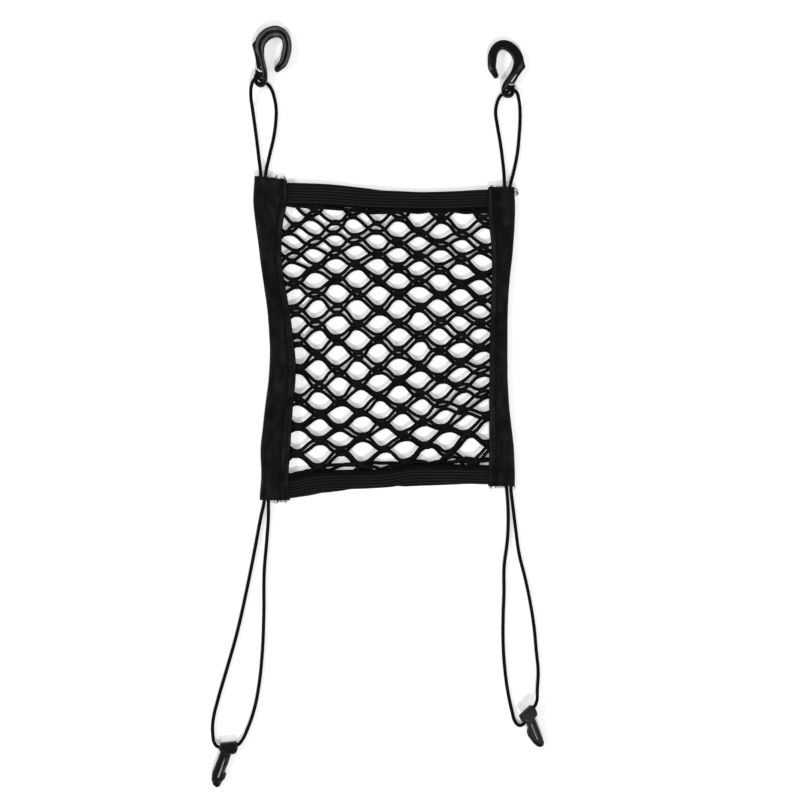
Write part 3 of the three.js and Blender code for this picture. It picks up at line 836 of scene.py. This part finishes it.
# Where a seam crosses a band, and bartacks: their middle, length along the band, and width across it
crossSeams = {"band_left": (0.1286, -0.1325), "band_right": (0.1235, -0.1205)}
bartacks = {
    "band_left": ((-0.0972, -0.147, 0.012, 0.0032), (-0.1165, 0.1475, 0.002, 0.0075)),
    "band_right": ((0.109, -0.1258, 0.002, 0.0065), (0.1065, 0.1385, 0.002, 0.0075)),
}
looseThreads = (
    ((-0.1072, 0.1504, 0.0071), (-0.1058, 0.1532, 0.0076), (-0.1041, 0.1562, 0.0068)),
    ((-0.0984, 0.1508, 0.007), (-0.0974, 0.1534, 0.0066), (-0.0978, 0.1556, 0.005)),
    ((-0.1041, -0.1532, 0.0066), (-0.1036, -0.1562, 0.0056), (-0.1048, -0.1579, 0.0036)),
    ((-0.1052, -0.1534, 0.0066), (-0.1064, -0.1558, 0.0058), (-0.1056, -0.1572, 0.004)),
    ((-0.0962, -0.1536, 0.0066), (-0.0958, -0.1563, 0.0052), (-0.0966, -0.1572, 0.0036)),
    ((0.122, 0.1436, 0.006), (0.1242, 0.1428, 0.0064), (0.1256, 0.1406, 0.0056), (0.1244, 0.1388, 0.0048)),
    ((0.1224, 0.1412, 0.0052), (0.125, 0.1404, 0.0062), (0.1266, 0.139, 0.0052), (0.125, 0.1378, 0.0044)),
    ((0.122, 0.1388, 0.005), (0.1246, 0.1394, 0.006), (0.1258, 0.138, 0.005), (0.1236, 0.1372, 0.0044)),
    ((0.1014, -0.1402, 0.0066), (0.1006, -0.1424, 0.0054), (0.1016, -0.1436, 0.004)),
    ((0.1216, -0.1398, 0.006), (0.1234, -0.1419, 0.0052), (0.1226, -0.1432, 0.004)),
)


def upperFace(node, x, y):
    fold, mouth = sideReaders[node](y)
    lift, _ = sideRelief(node, sideSeeds[node][0])(abs(x - fold), abs(x - mouth), y, 1)
    return tape["height"] + lift


def stitchLine(bm, node, start, end):
    start, end = Vector(start), Vector(end)
    pitch = sewing["stitch"] + sewing["gap"]
    count = int((end - start).length / pitch)
    step = (end - start) / count
    for i in range(count):
        first = start + step * i
        last = first + step * (sewing["stitch"] / pitch)
        line = []
        for share, lift in ((0, -sewing["dip"]), (0.25, 0), (0.75, 0), (1, -sewing["dip"])):
            x, y = first.lerp(last, share)
            line.append(Vector((x, y, upperFace(node, x, y) + lift)))
        addCord(bm, line, sewing["thread"] / 2, 6, 3)


def sewSeam(bm, node):
    side = 1 if node == "band_right" else -1
    read = sideReaders[node]
    low, high = sideRows[node][0][0] + 0.004, sideRows[node][-1][0] - 0.004
    pieces = 24
    for i in range(pieces):
        ends = [low + (high - low) * n / pieces for n in (i, i + 1)]
        stitchLine(bm, node, *[(read(y)[1] + side * seamAt(node, y), y) for y in ends])
    for y in crossSeams[node]:
        fold, mouth = read(y)
        stitchLine(bm, node, (fold - side * 0.004, y), (mouth + side * 0.0025, y))


def bartack(bm, node, tack):
    x, y, long, wide = tack
    tall = long > wide
    turns = round(max(long, wide) / sewing["zigzag"])
    line = []
    for i in range(turns + 1):
        run = (i / turns - 0.5) * max(long, wide)
        across = (0.5 if i % 2 else -0.5) * min(long, wide)
        spot = (x + across, y + run) if tall else (x + run, y + across)
        line.append(Vector((*spot, upperFace(node, *spot) + 0.0001)))
    addCord(bm, line, sewing["thread"] * 0.4, 6)


def frayedEnd(bm, node, y, away, chance):
    fold, mouth = sideReaders[node](y)
    for _ in range(sewing["frays"]):
        x = fold + (mouth - fold) * chance.uniform(0.1, 0.98)
        height = chance.choice((tape["thick"] / 2, tape["height"] - tape["thick"] / 2))
        slope = sideSeeds[node][1] * max(0, abs(x - fold) - cutEnd["slopeFrom"]) if y > 0 else 0
        reach = chance.uniform(*sewing["frayReach"])
        lean, curl = chance.uniform(-0.9, 0.9), chance.uniform(-sewing["frayCurl"], sewing["frayCurl"])
        inside = sewing["frayRoot"]
        root = Vector((x, y - slope - away * inside, height))
        middle = root + Vector((lean * reach * 0.5 + curl, away * (inside + reach * 0.5), 0))
        tip = root + Vector((lean * reach, away * (inside + reach), -0.3 * height + 0.0003))
        addCord(bm, [root, middle, tip], sewing["fray"] / 2 * chance.uniform(0.7, 1.2), 5, 3)


def makeSewing():
    bm = bmesh.new()
    chance = random.Random(7)
    for node, rows in sideRows.items():
        sewSeam(bm, node)
        for tack in bartacks[node]:
            bartack(bm, node, tack)
        frayedEnd(bm, node, rows[0][0], -1, chance)
        frayedEnd(bm, node, rows[-1][0], 1, chance)
    for line in looseThreads:
        addCord(bm, line, sewing["loose"] / 2, 6, 5)
    closeCords(bm)
    newPiece("sewing_threads", meshFrom(bm, "sewing"), thread)


makeSewing()
print("sewing made")


# Hooks and clips. Their outlines lie in their own plane, and each is then set where its frame solid
# lies.


def smoothLine(rows, share):
    # a point, and the way ahead, on the curve through the rows' points
    count = len(rows)
    spot = share * (count - 1)
    i = min(int(spot), count - 2)
    p = spot - i
    a, b, c, d = (Vector(rows[max(0, min(count - 1, n))][:2]) for n in (i - 1, i, i + 1, i + 2))
    if i == 0:
        a = b
    if i == count - 2:
        d = c
    leaving, arriving = (c - a) / 2, (d - b) / 2
    place = (2 * b - 2 * c + leaving + arriving) * p**3
    place += (-3 * b + 3 * c - 2 * leaving - arriving) * p**2 + leaving * p + b
    ahead = (2 * b - 2 * c + leaving + arriving) * (3 * p**2)
    ahead += (-3 * b + 3 * c - 2 * leaving - arriving) * (2 * p) + leaving
    width = rows[i][2] + (rows[i + 1][2] - rows[i][2]) * p
    return place, ahead.normalized(), width


def only(kind, parts):
    return [part for part in parts if isinstance(part, kind)]


# A moulding's mesh, and how pale its edges and the tops of its rims are painted, as wear and highlight
mouldingMesh = {"voxel": 0.00025, "passes": 2, "edge": 0.15, "spread": 2, "low": -0.0028, "wearAndHighlight": 1500}


# A bar drawn through cross-sections, each a ring of as many points
def loft(bm, sections):
    order = bm.verts.layers.int.get("order") or bm.verts.layers.int.new("order")
    ring = bmesh.ops.create_circle(bm, cap_ends=False, segments=len(sections[0]), radius=1)["verts"]
    for i, vert in enumerate(ring):
        vert[order] = i
    edges = list({edge for vert in ring for edge in vert.link_edges})
    capped = list(edges)
    for number, section in enumerate(sections):
        if number:
            made = bmesh.ops.extrude_edge_only(bm, edges=edges)["geom"]
            ring, edges = only(bmesh.types.BMVert, made), only(bmesh.types.BMEdge, made)
        for vert in ring:
            vert.co = section[vert[order]]
    bmesh.ops.holes_fill(bm, edges=capped + edges, sides=0)


circle = [Vector((math.cos(n * math.pi / 24), math.sin(n * math.pi / 24))) for n in range(48)]


# A block from its outline, through its thickness
def prism(bm, outline, low, high):
    face = bm.faces.new([bm.verts.new((x, y, low)) for x, y in outline])
    made = bmesh.ops.extrude_face_region(bm, geom=[face])["geom"]
    for vert in only(bmesh.types.BMVert, made):
        vert.co.z = high
    return face, made


def plate(bm, outline, half, rounding):
    face, made = prism(bm, outline, -half, half)
    rims = only(bmesh.types.BMEdge, made) + list(face.edges)
    bmesh.ops.bevel(bm, geom=rims, offset=rounding, offset_type="OFFSET", segments=3, profile=0.5,
                    affect="EDGES", material=-1)


def cut(piece, bm):
    tool = scratchObject(bm)
    hole = piece.modifiers.new("hole", "BOOLEAN")
    hole.operation = "DIFFERENCE"
    hole.solver = "EXACT"
    hole.object = tool
    bakeModifiers(piece)
    bpy.data.objects.remove(tool)


def bakeModifiers(piece):
    graph = bpy.context.evaluated_depsgraph_get()
    mesh = bpy.data.meshes.new_from_object(piece.evaluated_get(graph))
    piece.modifiers.clear()
    piece.data = mesh


def drill(piece, radius, depth, sides, lie):
    tool = bmesh.new()
    bmesh.ops.create_cone(tool, cap_ends=True, segments=sides, radius1=radius, radius2=radius,
                          depth=depth, matrix=lie)
    cut(piece, tool)


def scratchObject(bm):
    bmesh.ops.recalc_face_normals(bm, faces=bm.faces[:])
    return addObject("scratch", meshFrom(bm, "scratch", False))


# Fuses overlapping bars and plates into one moulding with small fillets
def fuse(piece, passes):
    skin = piece.modifiers.new("skin", "REMESH")
    skin.mode = "VOXEL"
    skin.voxel_size = mouldingMesh["voxel"]
    skin.use_smooth_shade = True
    soften = piece.modifiers.new("soften", "SMOOTH")
    soften.factor = 0.5
    soften.iterations = passes
    bakeModifiers(piece)


# How pale each point of a moulding is painted, from 0 to 1, as wear and a painted highlight: sharp
# edges are, and so are the tops of the rims below
def markEdges(piece):
    bm = bmesh.new()
    bm.from_mesh(piece.data)
    layer = bm.verts.layers.float.new("edge")
    ringOf = [[edge.other_vert(vert) for edge in vert.link_edges] for vert in bm.verts]
    for vert, ring in zip(bm.verts, ringOf):
        middle = sum((near.co for near in ring), Vector()) / len(ring)
        vert[layer] = (vert.co - middle).dot(vert.normal) / mouldingMesh["voxel"] / mouldingMesh["edge"]
        vert[layer] += max(0.0, (mouldingMesh["low"] - vert.co.z) * mouldingMesh["wearAndHighlight"])
    for _ in range(mouldingMesh["spread"]):
        spread = [(vert[layer] + sum(near[layer] for near in ring)) / (len(ring) + 1)
                  for vert, ring in zip(bm.verts, ringOf)]
        for vert, value in zip(bm.verts, spread):
            vert[layer] = value
    for vert in bm.verts:
        vert[layer] = max(0.0, min(1.0, vert[layer]))
    bm.to_mesh(piece.data)
    bm.free()


hook = {
    "thick": 0.007,
    "eye": 0.0035,
    "eyeRadius": 0.0064,
    "eyeHole": 0.0024,
    "drill": 0.02,
    "rounding": 0.0004,
    "eyeRounding": 0.0007,
    # the middle of the stem and crook, from the eye round to the tip, with the width there
    "crook": (
        (-0.0045, 0.0018, 0.0046),
        (-0.0025, 0.0068, 0.0048),
        (0.0005, 0.0111, 0.0049),
        (0.0045, 0.0169, 0.0051),
        (0.0082, 0.0222, 0.0084),
        (0.0102, 0.0282, 0.01),
        (0.009, 0.0336, 0.0099),
        (0.0056, 0.0393, 0.0096),
        (0.0, 0.0438, 0.0094),
        (-0.0058, 0.0449, 0.0089),
        (-0.011, 0.0422, 0.0085),
        (-0.0144, 0.036, 0.0088),
        (-0.0152, 0.029, 0.0086),
        (-0.0152, 0.023, 0.0077),
        (-0.0131, 0.018, 0.006),
        (-0.0105, 0.013, 0.0046),
    ),
    # the keeper: its root on the shoulder and its outer side, between which its inner side comes
    "keeperRoot": ((0.0168, 0.0234), (0.0156, 0.0276), (0.013, 0.03), (0.009, 0.024), (0.0084, 0.0184)),
    "keeperOutside": ((0.0059, 0.0075), (0.0079, 0.0104), (0.0101, 0.0145), (0.0135, 0.0193)),
    "lip": ((-0.0026, 0.0026), (0.001, 0.0053), (0.0071, 0.0064), (0.006, 0.0024)),
}
# Each hook's stretch and its keeper's inner side: the left one is drawn out along its stem, with a
# finer slit
hookShapes = {
    "left": (
        ((1.054, 0.091), (0.091, 1.104)),
        ((0.0082, 0.0176), (0.003, 0.0094), (0.0022, 0.0088), (0.0014, 0.0075)),
    ),
    "right": (
        ((1, 0), (0, 1)),
        ((0.009, 0.0173), (0.0039, 0.0088), (0.0024, 0.009), (0.0016, 0.0075)),
    ),
}


# The crook's section, from its inner side to its outer (-1 to 1 of half its width) and through it (-1
# to 1 of half its thickness): flat with a wide chamfer outside on its upper face, channelled between
# two rims below
crookSection = (
    (-1.0, 0.2), (-0.97, 0.6), (-0.86, 0.88), (-0.62, 1.0), (0.0, 1.0), (0.25, 1.0), (0.34, 0.96),
    (0.88, 0.62), (0.96, 0.5), (1.0, 0.3), (1.0, -0.3), (0.97, -0.6), (0.9, -0.78), (0.58, -1.0),
    (0.48, -1.0), (0.2, -0.82), (0.12, -0.5), (0.0, -0.46), (-0.12, -0.5), (-0.2, -0.82),
    (-0.44, -1.0), (-0.54, -1.0), (-0.9, -0.74), (-0.97, -0.6), (-1.0, -0.4),
)


def crookSections():
    sections = []
    steps = 90
    for n in range(steps + 1):
        share = n / steps
        place, ahead, width = smoothLine(hook["crook"], share)
        aside = Vector((-ahead.y, ahead.x))
        # thinner towards the eye and the tip, which is rounded off
        thin = min(1.0, 0.75 + 1.6 * share) * min(1.0, 0.6 + 4.0 * (1 - share))
        half = width / 2
        if share > 0.97:
            half *= math.sqrt(max(0.08, 1 - ((share - 0.97) / 0.03) ** 2))
        section = []
        for across, through in crookSection:
            spot = place - aside * (across * half)
            section.append(Vector((spot.x, spot.y, through * hook["thick"] / 2 * thin)))
        sections.append(section)
    return sections


def makeHook(stretch, keeperInside):
    bm = bmesh.new()
    loft(bm, crookSections())
    half = hook["eye"] / 2
    plate(bm, hook["keeperRoot"] + keeperInside + hook["keeperOutside"], half, hook["rounding"])
    plate(bm, hook["lip"], half, hook["rounding"])
    plate(bm, [turn * hook["eyeRadius"] for turn in circle], half, hook["eyeRounding"])
    bm.transform(Matrix(stretch).to_4x4())
    piece = scratchObject(bm)
    fuse(piece, 1)
    drill(piece, hook["eyeHole"], hook["drill"], len(circle), Matrix())
    fuse(piece, mouldingMesh["passes"])
    markEdges(piece)
    return piece


clipHead = {
    "turn": 0.36,
    "thick": 0.007,
    "bore": 0.0026,
    "rounding": 0.0011,
    "drill": 0.024,
    "open": (0.0039, 0.0013, 0.012),
    "slotHalf": 0.006,
    "outline": (
        (-0.0074, 0.0033), (0.0072, 0.0036), (0.0088, 0.0014), (0.0088, -0.0034), (0.0076, -0.0064),
        (0.0056, -0.0078), (-0.0044, -0.0074), (-0.0052, -0.0038), (-0.0084, -0.0035),
        (-0.009, -0.0014),
    ),
}
clipStems = {
    "left": {
        "slot": (-0.0112, -0.0316, -0.0014, 0.0005, 0.0016),
        "outline": (
            (-0.0056, -0.003), (-0.0069, -0.017), (-0.0082, -0.028), (-0.0073, -0.035),
            (-0.0044, -0.0396), (-0.0006, -0.0414), (0.0022, -0.0396), (0.0032, -0.0344),
            (0.005, -0.031), (0.0053, -0.0268), (0.0028, -0.0252), (0.0042, -0.017), (0.0048, -0.003),
        ),
    },
    "right": {
        "slot": (-0.0105, -0.0285, 0.0, 0.0004, 0.0008),
        "outline": (
            (-0.0043, -0.003), (-0.0044, -0.0135), (-0.0068, -0.0168), (-0.0073, -0.0206),
            (-0.005, -0.0296), (-0.0028, -0.034), (0.0, -0.036), (0.003, -0.0356), (0.0049, -0.0328),
            (0.0052, -0.02), (0.0054, -0.003),
        ),
    },
}


stemRim = {"half": 0.0025, "slope": 0.0008, "rise": 0.0006, "flat": 0.0005, "sink": 0.0013}


def turned(points, angle):
    turn = Matrix.Rotation(angle, 2)
    return [tuple(turn @ Vector(point)) for point in points]


# The clip's stem: its outline, chamfered, with a rim round a recess on both faces
def stemPlate(bm, outline):
    rim = stemRim
    for side in (1, -1):
        face = bm.faces.new([bm.verts.new((x, y, 0)) for x, y in outline])
        [top] = only(bmesh.types.BMFace, bmesh.ops.extrude_face_region(bm, geom=[face])["geom"])
        for vert in top.verts:
            vert.co.z = side * (rim["half"] - rim["rise"])
        bmesh.ops.recalc_face_normals(bm, faces=bm.faces[:])
        for wide, rise in ((rim["slope"], rim["rise"]), (rim["flat"], 0), (rim["slope"], -rim["sink"])):
            bmesh.ops.inset_region(bm, faces=[top], thickness=wide, depth=rise, use_even_offset=True)


def makeClip(stem):
    bm = bmesh.new()
    half = clipHead["thick"] / 2
    plate(bm, turned(clipHead["outline"], clipHead["turn"]), half, clipHead["rounding"])
    stemPlate(bm, stem["outline"])
    piece = scratchObject(bm)
    fuse(piece, 1)
    turn = Matrix.Rotation(clipHead["turn"], 4, "Z")
    bore = clipHead["bore"]
    drill(piece, bore, clipHead["drill"], 32, turn @ Matrix.Rotation(math.pi / 2, 4, "Y"))
    reach, end, long = clipHead["open"]
    groove = bmesh.new()
    size = Matrix.Diagonal((long, bore + reach, clipHead["thick"], 1))
    spot = Matrix.Translation((end - long / 2, (bore - reach) / 2, -half))
    bmesh.ops.create_cube(groove, size=1, matrix=turn @ spot @ size)
    cut(piece, groove)
    fromY, toY, lean, narrow, wide = stem["slot"]
    slot = bmesh.new()
    halfTurn = [n * math.pi / 8 for n in range(9)]
    outline = [(narrow / 2 * math.cos(a), fromY + narrow / 2 * math.sin(a)) for a in halfTurn]
    outline += [(lean - wide / 2 * math.cos(a), toY - wide / 2 * math.sin(a)) for a in halfTurn]
    prism(slot, outline, -clipHead["slotHalf"], clipHead["slotHalf"])
    cut(piece, slot)
    fuse(piece, mouldingMesh["passes"])
    markEdges(piece)
    return piece


# Where each moulding lies: its eye or bore, its turn in plan, and how it is tipped and rolled to rest
seats = {
    "hook_top_left": ((-0.1203, 0.2475, 0.0064), -0.397, -0.02, 0.085),
    "hook_top_right": ((0.1167, 0.2364, 0.0056), 0.0, -0.03, -0.03),
    "clip_bottom_left": ((-0.151, -0.3898, 0.0038), -0.265, 0.03, 0.0),
    "clip_bottom_right": ((0.1346, -0.3578, 0.0077), 0.385, 0.14, 0.0),
}


def layMoulding(node, shape, flipped=False):
    spot, turn, tip, roll = seats[node]
    mesh = shape.data
    bpy.data.objects.remove(shape)
    if flipped:
        mesh.transform(Matrix.Rotation(math.pi, 4, "Y"))
    lie = Euler((tip, roll, turn), "XYZ").to_matrix().to_4x4()
    mesh.transform(Matrix.Translation(spot) @ lie)
    mesh.shade_smooth()
    piece = newPiece(node + "_moulding", mesh, moulding)
    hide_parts(node)
    return piece


fittings = {
    "loop_top_left": layMoulding("hook_top_left", makeHook(*hookShapes["left"]), True),
    "loop_top_right": layMoulding("hook_top_right", makeHook(*hookShapes["right"])),
    "loop_bottom_left": layMoulding("clip_bottom_left", makeClip(clipStems["left"])),
    "loop_bottom_right": layMoulding("clip_bottom_right", makeClip(clipStems["right"])),
}
for name, route in loopRoutes.items():
    declareLoop(route)
print("hooks and clips made")


# Floor and light: a pale floor, a low lamp before the net, a softer one on each side, and a white sky

studio = {"floor": 6.0, "level": -0.0003, "glow": 0.26, "world": 0.31}
# Each lamp's height above the floor and bearing from +X in degrees, its softness and its share of the
# light
lamps = {
    "lowLight": (46, 278, 0.14, 0.33),
    "rightLight": (32, 350, 0.4, 0.12),
    "leftLight": (39, 182, 0.3, 0.26),
}


def makeFloor():
    bm = bmesh.new()
    bmesh.ops.create_grid(bm, x_segments=1, y_segments=1, size=studio["floor"] / 2)
    finish = Finish("paper", Base_Color=(0.97, 0.97, 0.972, 1), Roughness=0.9)
    seenDirectly = finish.add("ShaderNodeLightPath", {}, {}, "Is Camera Ray")
    bright = {"Color": (1, 1, 1, 1), "Strength": seenDirectly * studio["glow"]}
    glow = finish.add("ShaderNodeEmission", {}, bright)
    paper = Wire(finish, finish.shader.outputs[0])
    mixed = finish.add("ShaderNodeAddShader", {}, {0: paper, 1: glow})
    finish.feed(finish.tree.nodes["Material Output"].inputs["Surface"], mixed)
    floor = addObject("floor", meshFrom(bm, "floor", False))
    floor.data.materials.append(finish.material)
    floor.location.z = studio["level"]


def addLamp(name, height, bearing, softness, share):
    lamp = bpy.data.lights.new(name, "SUN")
    lamp.angle = softness
    lamp.energy = share * math.pi / math.sin(math.radians(height))
    turn = Euler((0, -math.radians(height), math.radians(bearing)), "XYZ").to_matrix()
    toLamp = turn @ Vector((1, 0, 0))
    addObject(name, lamp).rotation_euler = (-toLamp).to_track_quat("-Z", "Y").to_euler()


def makeLight():
    world = bpy.data.worlds.new("world")
    world.use_nodes = True
    background = world.node_tree.nodes["Background"]
    background.inputs["Color"].default_value = (1, 1, 1, 1)
    path = world.node_tree.nodes.new("ShaderNodeLightPath")
    strength = world.node_tree.nodes.new("ShaderNodeMapRange")
    strength.inputs["To Min"].default_value = studio["world"]
    world.node_tree.links.new(path.outputs["Is Camera Ray"], strength.inputs["Value"])
    world.node_tree.links.new(strength.outputs["Result"], background.inputs["Strength"])
    bpy.context.scene.world = world
    for name, settings in lamps.items():
        addLamp(name, *settings)


makeFloor()
makeLight()
bpy.context.scene.view_settings.view_transform = "Standard"
